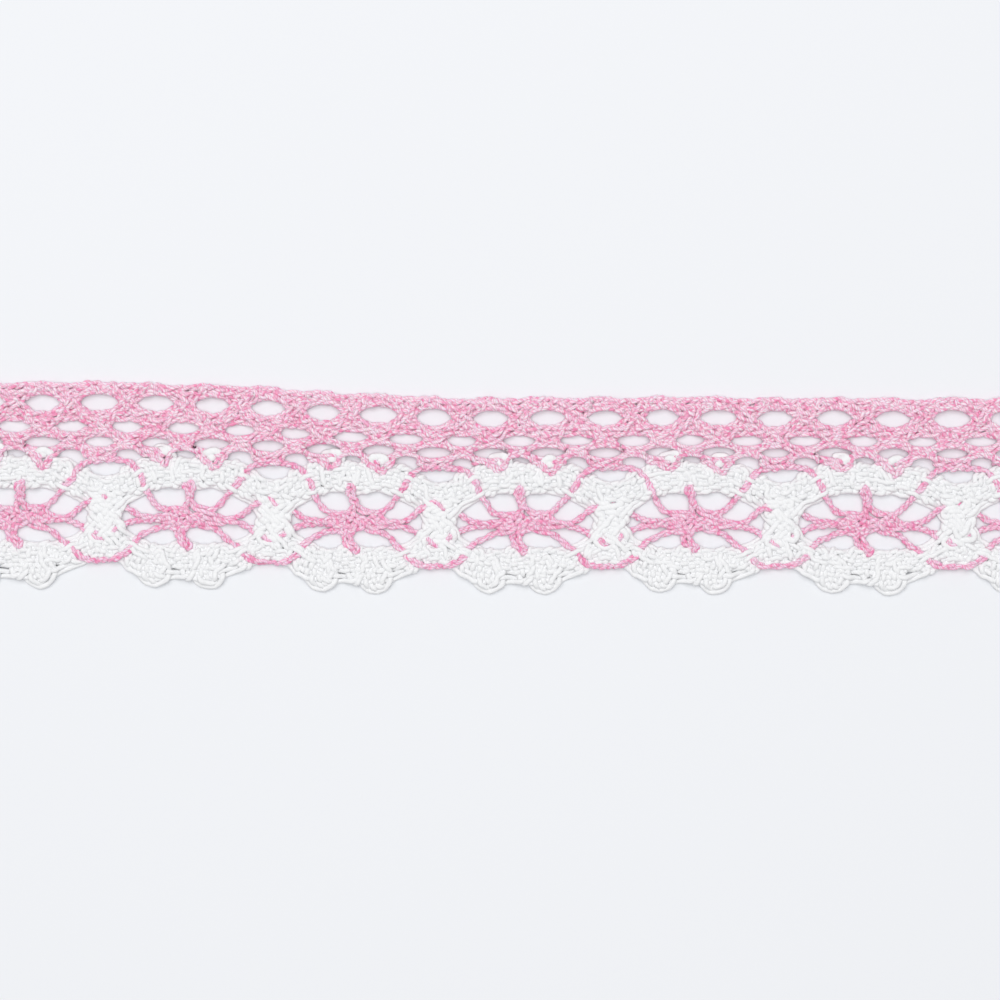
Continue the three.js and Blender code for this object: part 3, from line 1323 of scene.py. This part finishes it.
@dataclass(frozen=True)
class Yarn:
    """Round yarn that covers the threads. Sizes are in millimetres.

    Attributes:
        sides: Sides of its tubes.
        swell: How much its thickness changes, as a share.
        swell_rates: How fast each of the three waves of that goes.
        swell_peak: What their sum is divided by.
        thread_gap: Distance between the starts of two threads in the UV map.
        seed: The seed of the random draws.
    """

    sides: int = 8
    swell: float = 0.05
    swell_rates: tuple[float, float, float] = (1.3, 2.9, 4.7)
    swell_peak: float = 1.7
    thread_gap: float = 60.0
    seed: int = 21

    def cover(self, name: str, threads: list[Thread]) -> bpy.types.Object:
        """Makes closed tubes round threads and joins them into one piece.

        Args:
            name: The piece's name.
            threads: Its settled threads.

        Returns:
            The new object, with its place in its mesh and a UV map of the distance along each
            thread, in millimetres, and round it, in turns.
        """
        rng = np.random.default_rng(self.seed)
        verts, quads, quad_uvs, caps = [], [], [], []
        base = 0
        for thread in threads:
            ring, gone = self.rings(thread, rng)
            count = len(gone)
            verts.append(ring.reshape(-1, 3))
            a = np.arange(self.sides)
            row = np.arange(count - 1)[:, None] * self.sides + base
            near, nearer = row + a, row + (a + 1) % self.sides
            quads.append(
                np.stack([near, near + self.sides, nearer + self.sides, nearer], -1).reshape(-1, 4)
            )
            offset = self.thread_gap * thread.number
            u0 = np.repeat(gone[:-1] + offset, self.sides)
            u1 = np.repeat(gone[1:] + offset, self.sides)
            v0 = np.tile(a / self.sides, count - 1)
            v1 = np.tile((a + 1) / self.sides, count - 1)
            quad_uvs.append(np.stack([u0, v0, u1, v0, u1, v1, u0, v1], -1).reshape(-1, 4, 2))
            caps.append((a + base, offset))
            caps.append((a[::-1] + base + (count - 1) * self.sides, offset + gone[-1]))
            base += count * self.sides
        return self.mesh_object(name, np.vstack(verts), np.vstack(quads), np.vstack(quad_uvs), caps)

    def rings(self, thread: Thread, rng: np.random.Generator) -> tuple[np.ndarray, np.ndarray]:
        """Rings of points round one thread.

        Args:
            thread: The settled thread.
            rng: Where the random draws come from.

        Returns:
            The points in metres, ring after ring, and the distance of each ring along the thread.
        """
        points = thread.points
        ahead = np.gradient(points, axis=0)
        ahead /= np.linalg.norm(ahead, axis=1)[:, None]
        aside = np.cross(ahead, (0.0, 0.0, 1.0))
        aside /= np.linalg.norm(aside, axis=1)[:, None]
        up = np.cross(aside, ahead)
        gone = distances(points)
        waves = [np.sin(gone * rate + rng.uniform(0, TAU)) for rate in self.swell_rates]
        radius = thread.part.cotton.radius * (1 + self.swell * sum(waves) / self.swell_peak)
        turn = (np.arange(self.sides) / self.sides - 0.25) * TAU
        wide, tall = thread.part.cotton.oval
        wide = wide * thread.width[:, None, None]
        ring = aside[:, None] * wide * np.cos(turn)[:, None]
        ring = ring + up[:, None] * tall * np.sin(turn)[:, None]
        return (points[:, None] + ring * radius[:, None, None]) * MM, gone

    def mesh_object(
        self,
        name: str,
        verts: np.ndarray,
        quads: np.ndarray,
        quad_uvs: np.ndarray,
        caps: list[tuple[np.ndarray, float]],
    ) -> bpy.types.Object:
        """Makes an object with a mesh from arrays.

        Args:
            name: The object's name.
            verts: The points.
            quads: Point numbers of the faces along the tubes.
            quad_uvs: Their places in the UV map.
            caps: Point numbers of each end face, with its distance along the thread.

        Returns:
            The new object.
        """
        cap_loops = np.concatenate([loop for loop, _ in caps])
        loops = np.concatenate([quads.ravel(), cap_loops])
        mesh = bpy.data.meshes.new(name)
        mesh.vertices.add(len(verts))
        mesh.vertices.foreach_set("co", verts.ravel())
        mesh.loops.add(len(loops))
        mesh.loops.foreach_set("vertex_index", loops)
        quad_starts = np.arange(len(quads)) * 4
        cap_starts = quads.size + np.arange(len(caps)) * self.sides
        mesh.polygons.add(len(quads) + len(caps))
        mesh.polygons.foreach_set("loop_start", np.concatenate([quad_starts, cap_starts]))
        smooth = np.arange(len(mesh.polygons)) < len(quads)
        mesh.update(calc_edges=True)
        mesh.validate()
        mesh.polygons.foreach_set("use_smooth", smooth)
        around = np.arange(self.sides) / self.sides
        cap_uvs = [np.stack([np.full(self.sides, along), around], -1) for _, along in caps]
        uvs = mesh.uv_layers.new(name="thread")
        uvs.data.foreach_set("uv", np.concatenate([quad_uvs.ravel(), np.vstack(cap_uvs).ravel()]))
        piece = bpy.data.objects.new(name, mesh)
        bpy.context.collection.objects.link(piece)
        log.info("%s: %d threads, %d faces", name, len(caps) // 2, len(mesh.polygons))
        return piece


class Nodes:
    """Short ways to add and join shader nodes in one tree."""

    def __init__(self, tree: bpy.types.NodeTree) -> None:
        """Keeps the tree."""
        self.tree = tree

    def add(self, kind: str, **settings: object) -> bpy.types.Node:
        """Adds a node.

        Args:
            kind: Its type.
            **settings: Its properties by name.

        Returns:
            The node.
        """
        node = self.tree.nodes.new(kind)
        for name, value in settings.items():
            setattr(node, name, value)
        return node

    def link(self, source: bpy.types.NodeSocket, target: bpy.types.NodeSocket) -> None:
        """Joins two sockets."""
        self.tree.links.new(source, target)

    def fill(self, socket: bpy.types.NodeSocket, value: object) -> None:
        """Joins a socket to another one, or sets its value.

        Args:
            socket: The input.
            value: The output that it is joined to, or its value.
        """
        if isinstance(value, bpy.types.NodeSocket):
            self.link(value, socket)
        else:
            socket.default_value = value

    def math(self, operation: str, *values: object, clamp: bool = False) -> bpy.types.NodeSocket:
        """The output of a Math node.

        Args:
            operation: What it does.
            *values: Its inputs, each a socket or a number.
            clamp: Whether the output stays between 0 and 1.

        Returns:
            The output.
        """
        node = self.add("ShaderNodeMath", operation=operation, use_clamp=clamp)
        for socket, value in zip(node.inputs, values):
            self.fill(socket, value)
        return node.outputs[0]

    def point(self, *values: object) -> bpy.types.NodeSocket:
        """A point from its first coordinates, with the others at 0.

        Args:
            *values: The coordinates, each a socket or a number.

        Returns:
            The output.
        """
        node = self.add("ShaderNodeCombineXYZ")
        for socket, value in zip(node.inputs, values):
            self.fill(socket, value)
        return node.outputs[0]

    def mix(self, factor: object, low: object, high: object) -> bpy.types.NodeSocket:
        """The colour between two colours.

        Args:
            factor: How far it is from the first to the second, as a socket or a number.
            low: The first colour, as a socket or with its alpha.
            high: The second colour, likewise.

        Returns:
            The output.
        """
        node = self.add("ShaderNodeMix", data_type="RGBA")
        for name, value in (("Factor_Float", factor), ("A_Color", low), ("B_Color", high)):
            self.fill(next(s for s in node.inputs if s.identifier == name), value)
        return next(s for s in node.outputs if s.identifier == "Result_Color")

    def noise(
        self, vector: bpy.types.NodeSocket, scale: float = 1.0, detail: float = 2.0
    ) -> bpy.types.NodeSocket:
        """The value of a noise texture.

        Args:
            vector: Where the texture is read.
            scale: Its scale.
            detail: Its detail.

        Returns:
            The output.
        """
        node = self.add("ShaderNodeTexNoise")
        node.inputs["Scale"].default_value = scale
        node.inputs["Detail"].default_value = detail
        self.link(vector, node.inputs["Vector"])
        return node.outputs[0]


@dataclass(frozen=True)
class TwistedYarnGroup:
    """The shader group for yarn of plies twisted together, read from the thread's UV map.

    Attributes:
        name: The group's name.
        slack_rate: How fast the lay of the plies changes along the thread.
        slack: How much it does, in turns.
        fibres_round: Fibres in a turn.
        fibre_rate: How fast a fibre changes along the thread.
        tone_rate: How fast the slow tones do.
        shade_rate: How fast each ply does.
        ply_shift: How far the plies' shades lie from each other.
    """

    name: str = "twisted_yarn"
    slack_rate: float = 0.9
    slack: float = 1.6
    fibres_round: float = 14.0
    fibre_rate: float = 1.1
    tone_rate: float = 0.45
    shade_rate: float = 1.4
    ply_shift: float = 17.3

    def tree(self) -> bpy.types.NodeTree:
        """The group, built once."""
        made = bpy.data.node_groups.get(self.name)
        return made or self.build()

    def build(self) -> bpy.types.NodeTree:
        """Makes the group: plies and fibre noise as masks, slow tones, and a height.

        Returns:
            The group.
        """
        tree = bpy.data.node_groups.new(self.name, "ShaderNodeTree")
        face = tree.interface
        for name, value in (("Plies", 2.0), ("Lay", 0.6), ("Fibre depth", 0.3)):
            socket = face.new_socket(name, in_out="INPUT", socket_type="NodeSocketFloat")
            socket.default_value = value
        for name in ("Crown", "Fibre", "Tone", "Shade", "Height"):
            face.new_socket(name, in_out="OUTPUT", socket_type="NodeSocketFloat")
        n = Nodes(tree)
        given = n.add("NodeGroupInput").outputs
        split = n.add("ShaderNodeSeparateXYZ")
        n.link(n.add("ShaderNodeUVMap", uv_map="thread").outputs[0], split.inputs[0])
        along, around = split.outputs[0], split.outputs[1]
        slack_at = n.point(n.math("MULTIPLY", along, self.slack_rate))
        slack = n.math("MULTIPLY", n.noise(slack_at, detail=1.0), self.slack)
        turns = n.math("ADD", n.math("DIVIDE", along, given["Lay"]), around)
        turns = n.math("ADD", turns, slack)
        ply = n.math("FRACT", n.math("MULTIPLY", turns, given["Plies"]))
        from_crown = n.math("ABSOLUTE", n.math("SUBTRACT", n.math("MULTIPLY", ply, 2.0), 1.0))
        crown = n.math("SQRT", n.math("SUBTRACT", 1.0, n.math("POWER", from_crown, 2.0)))
        round_it = n.math("MULTIPLY", turns, self.fibres_round)
        fibre_at = n.point(round_it, n.math("MULTIPLY", along, self.fibre_rate))
        fibre = n.noise(fibre_at, detail=3.0)
        tone = n.noise(n.point(n.math("MULTIPLY", along, self.tone_rate)))
        number = n.math("FLOOR", n.math("MULTIPLY", turns, given["Plies"]))
        number = n.math("MODULO", number, given["Plies"])
        shifted = n.math("MULTIPLY", number, self.ply_shift)
        shade_at = n.point(n.math("MULTIPLY", along, self.shade_rate), shifted)
        shade = n.noise(shade_at, detail=1.0)
        height = n.math("MULTIPLY_ADD", fibre, given["Fibre depth"], crown)
        out = n.add("NodeGroupOutput").inputs
        masks = {"Crown": crown, "Fibre": fibre, "Tone": tone, "Shade": shade, "Height": height}
        for name, value in masks.items():
            n.link(value, out[name])
        return tree


@dataclass(frozen=True)
class YarnFinish:
    """Soft cotton yarn: the colours of its crowns, with painted shade in the grooves between the plies
    and painted highlights on the crowns.

    Attributes:
        name: The material's name.
        groove_shade: Painted shade, the darker colour in the grooves between the plies.
        crown: Colour on the plies.
        light: Colour of the painted highlights on the ply crowns, and of the paler lengths of the
            yarn.
        deep: Colour of the darker lengths of a ply.
        depth: How much of the deep colour there is.
        relief: Depth of the plies, in millimetres.
        scatter: Share of light that scatters inside the yarn.
        scatter_reach: How far it does, in millimetres.
        roughness: Roughness of a middling fibre.
        rough_spread: How much the roughness differs from fibre to fibre.
        sheen: Strength of the sheen.
        sheen_roughness: Its roughness.
        gloss: Strength of the reflection.
        plies: Plies in the yarn.
        lay: Length of a turn of them, in millimetres.
        deep_ramp: Factor and addend that make the deep colour's mask from a ply's shade.
        highlight_ramp: The same for the painted highlights on the crowns.
        fade_ramp: The same for the paler lengths of the yarn.
        fade: How much of the light colour there is in those.
    """

    name: str
    groove_shade: tuple[float, float, float]
    crown: tuple[float, float, float]
    light: tuple[float, float, float]
    deep: tuple[float, float, float]
    depth: float
    relief: float
    scatter: float
    scatter_reach: tuple[float, float, float] = (0.6, 0.25, 0.35)
    roughness: float = 0.62
    rough_spread: float = 0.2
    sheen: float = 0.15
    sheen_roughness: float = 0.45
    gloss: float = 0.25
    plies: float = 3.0
    lay: float = 1.3
    deep_ramp: tuple[float, float] = (5.0, -2.3)
    highlight_ramp: tuple[float, float] = (2.4, -0.95)
    fade_ramp: tuple[float, float] = (1.6, -0.5)
    fade: float = 0.35

    def material(self) -> bpy.types.Material:
        """The material, made once."""
        made = bpy.data.materials.get(self.name)
        return made or self.build()

    def build(self) -> bpy.types.Material:
        """Makes the material from the yarn group.

        Returns:
            The material.
        """
        material = bpy.data.materials.new(self.name)
        material.use_nodes = True
        n = Nodes(material.node_tree)
        shader = material.node_tree.nodes["Principled BSDF"]
        yarn = n.add("ShaderNodeGroup", node_tree=TwistedYarnGroup().tree())
        yarn.inputs["Plies"].default_value = self.plies
        yarn.inputs["Lay"].default_value = self.lay
        dark = n.math("MULTIPLY_ADD", yarn.outputs["Shade"], *self.deep_ramp, clamp=True)
        dark = n.math("MULTIPLY", dark, self.depth)
        crown = n.mix(dark, (*self.crown, 1), (*self.deep, 1))
        # Painted shade: the colour darkens from the ply crowns into the grooves between them.
        twist = n.mix(yarn.outputs["Crown"], (*self.groove_shade, 1), crown)
        # Painted highlights: the light colour on the ply crowns where the fibre noise is high.
        lit = n.math("MULTIPLY_ADD", yarn.outputs["Fibre"], *self.highlight_ramp, clamp=True)
        lit = n.math("MULTIPLY", lit, yarn.outputs["Crown"])
        lit = n.math("MULTIPLY", lit, n.math("SUBTRACT", 1.0, dark))
        highlighted = n.mix(lit, twist, (*self.light, 1))
        fade = n.math("MULTIPLY_ADD", yarn.outputs["Tone"], *self.fade_ramp, clamp=True)
        toned = n.mix(n.math("MULTIPLY", fade, self.fade), highlighted, (*self.light, 1))
        n.link(toned, shader.inputs["Base Color"])
        smoothest = self.roughness - self.rough_spread / 2
        rough = n.math("MULTIPLY_ADD", yarn.outputs["Fibre"], self.rough_spread, smoothest)
        n.link(rough, shader.inputs["Roughness"])
        shader.inputs["Subsurface Weight"].default_value = self.scatter
        shader.inputs["Subsurface Radius"].default_value = self.scatter_reach
        shader.inputs["Subsurface Scale"].default_value = MM
        shader.inputs["Specular IOR Level"].default_value = self.gloss
        shader.inputs["Sheen Weight"].default_value = self.sheen
        shader.inputs["Sheen Roughness"].default_value = self.sheen_roughness
        bump = n.add("ShaderNodeBump")
        bump.inputs["Strength"].default_value = 1.0
        bump.inputs["Distance"].default_value = self.relief * MM
        n.link(yarn.outputs["Height"], bump.inputs["Height"])
        n.link(bump.outputs[0], shader.inputs["Normal"])
        return material


# The table and light.


@dataclass(frozen=True)
class TableTop:
    """The pale surface that the lace lies on.

    Attributes:
        size: Its length and width, in metres.
        colour: Its colour.
        mottle: How much paler its palest spots are.
        mottle_scale: Scale of the spots.
        roughness: Its roughness.
        gloss: Strength of its reflection.
    """

    size: float = 3.0
    colour: tuple[float, float, float] = (0.835, 0.849, 0.878)
    mottle: float = 1.012
    mottle_scale: float = 9.0
    roughness: float = 0.75
    gloss: float = 0.2

    def build(self) -> bpy.types.Object:
        """Makes a square top with a faint mottle.

        Returns:
            The top.
        """
        bpy.ops.object.select_all(action="DESELECT")
        bpy.ops.mesh.primitive_plane_add(size=self.size)
        top = bpy.context.object
        top.name = "table_top"
        material = bpy.data.materials.new("pale_table")
        material.use_nodes = True
        n = Nodes(material.node_tree)
        shader = material.node_tree.nodes["Principled BSDF"]
        place = n.add("ShaderNodeTexCoord").outputs["Object"]
        spots = n.noise(place, self.mottle_scale)
        paler = tuple(min(1.0, c * self.mottle) for c in self.colour)
        n.link(n.mix(spots, (*self.colour, 1), (*paler, 1)), shader.inputs["Base Color"])
        shader.inputs["Roughness"].default_value = self.roughness
        shader.inputs["Specular IOR Level"].default_value = self.gloss
        top.data.materials.append(material)
        return top


@dataclass(frozen=True)
class Studio:
    """Soft light from above and a camera that looks straight down. Sizes are in metres.

    Attributes:
        aim: Where the camera looks.
        width_seen: How wide its picture is there.
        lens: Its focal length, in millimetres.
        sensor: Its sensor's width, in millimetres.
        clip: The nearest and the farthest that it sees.
        sky: Strength of the sky.
        panel_power: Power of the panel, in watts.
        panel_size: Its length and width.
        panel_place: Where it hangs.
    """

    aim: tuple[float, float, float] = (-0.000465, -0.00138, 0.0006)
    width_seen: float = 0.12925
    lens: float = 100.0
    sensor: float = 36.0
    clip: tuple[float, float] = (0.01, 10.0)
    sky: float = 0.46
    panel_power: float = 5.61
    panel_size: float = 0.9
    panel_place: tuple[float, float, float] = (-0.06, 0.16, 0.8)

    def camera(self) -> bpy.types.Object:
        """Sets the camera to the photograph's angle and framing.

        Returns:
            The camera.
        """
        data = bpy.data.cameras.new("camera")
        data.lens = self.lens
        data.sensor_width = self.sensor
        data.clip_start, data.clip_end = self.clip
        camera = bpy.data.objects.new("camera", data)
        above = self.width_seen * self.lens / self.sensor
        camera.location = (self.aim[0], self.aim[1], self.aim[2] + above)
        bpy.context.collection.objects.link(camera)
        bpy.context.scene.camera = camera
        return camera

    def lights(self) -> None:
        """A pale sky all round and one large soft panel."""
        world = bpy.data.worlds.new("studio")
        world.use_nodes = True
        sky = world.node_tree.nodes["Background"]
        sky.inputs["Color"].default_value = (1.0, 1.0, 1.0, 1.0)
        sky.inputs["Strength"].default_value = self.sky
        bpy.context.scene.world = world
        panel = bpy.data.lights.new("panel", "AREA")
        panel.shape = "SQUARE"
        panel.size = self.panel_size
        panel.energy = self.panel_power
        lamp = bpy.data.objects.new("panel", panel)
        lamp.location = self.panel_place
        lamp.rotation_euler = lamp.location.to_track_quat("Z", "Y").to_euler()
        bpy.context.collection.objects.link(lamp)
        bpy.context.scene.view_settings.view_transform = "Standard"


def main() -> None:
    """Builds the lace and the studio."""
    logging.basicConfig(level=logging.INFO, format="%(message)s")
    studio = Studio()
    studio.camera()
    studio.lights()
    TableTop().build()
    pink = YarnFinish(
        name="pink_yarn",
        # Painted shade: the darker colour in the grooves between the plies.
        groove_shade=(0.92, 0.205, 0.425),
        crown=(0.975, 0.695, 0.828),
        # Painted highlights on the crowns; the same colour also pales some lengths at random.
        light=(0.99, 0.945, 0.975),
        deep=(0.90, 0.115, 0.36),
        depth=0.8,
        relief=0.05,
        scatter=0.3,
    )
    # Painted shade: a copy of the pink yarn with darker crowns and highlights, for the spiders'
    # crowded threads.
    shaded_pink = replace(
        pink, name="shaded_pink_yarn", crown=(0.965, 0.59, 0.765), light=(0.98, 0.91, 0.95)
    )
    white = YarnFinish(
        name="white_yarn",
        # Painted shade: the slightly darker colour in the grooves between the plies.
        groove_shade=(0.87, 0.877, 0.892),
        crown=(0.89, 0.893, 0.907),
        # Painted highlights on the crowns; the same colour also pales some lengths at random.
        light=(0.905, 0.907, 0.917),
        deep=(0.877, 0.883, 0.897),
        depth=0.5,
        relief=0.03,
        scatter=0.0,
    )
    knots = (TURN_OVER_BLOCK, TURN_FIRST_KNOT, TURN_SECOND_KNOT)
    over_knots = (TURN_OVER_BLOCK, TURN_OVER_KNOT, TURN_OVER_KNOT)
    finishes: dict[LacePart, YarnFinish] = {
        GroundPairs(name="ground_pairs", offset=0.36, turns=over_knots): pink,
        GroundPairs(name="ground_second_pairs", offset=-0.36, turns=knots): pink,
        GroundRails(): pink,
        Spiders(): shaded_pink,
        Arcs(): white,
        Scallop(): white,
        Blocks(): white,
    }
    parts = list(finishes)
    work = ThreadWork(Lie(), parts)
    work.lay_threads()
    work.raise_threads()
    work.settle()
    yarn = Yarn()
    for part in parts:
        piece = part.build(work.threads, yarn)
        part.dress(piece, finishes[part])
        log.info("%s made", piece.name)


if __name__ == "__main__":
    main()
